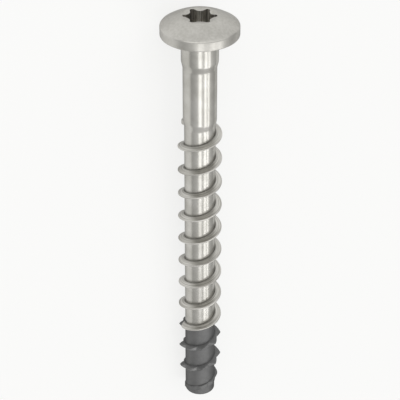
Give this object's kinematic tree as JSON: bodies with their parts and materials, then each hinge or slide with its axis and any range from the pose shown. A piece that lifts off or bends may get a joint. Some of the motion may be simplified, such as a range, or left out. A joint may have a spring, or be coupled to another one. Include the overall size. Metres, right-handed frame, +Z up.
{
  "type": "concrete screw",
  "caption": "Round-head stainless concrete screw with a six-lobe drive, a coarse single-start thread and a welded dark tip with saw-tooth cutting threads; lies on its side.",
  "frame": {"origin": "on the floor, under the middle of the screw's bounding box as it lies", "axes": "+X along the screw from head to tip, +Z up; the screw's own axis falls about 2.77 degrees towards the tip, as it rests on the head's edge and a pair of teeth"},
  "size_m": [0.0754, 0.013, 0.013],
  "materials": {
    "stainless_steel": "satin cold-formed stainless steel",
    "hardened_steel": "dark grey satin hardened carbon steel"
  },
  "bodies": {
    "root": {"stainless_body": "stainless_steel", "hardened_tip": "hardened_steel"}
  },
  "joints": []
}
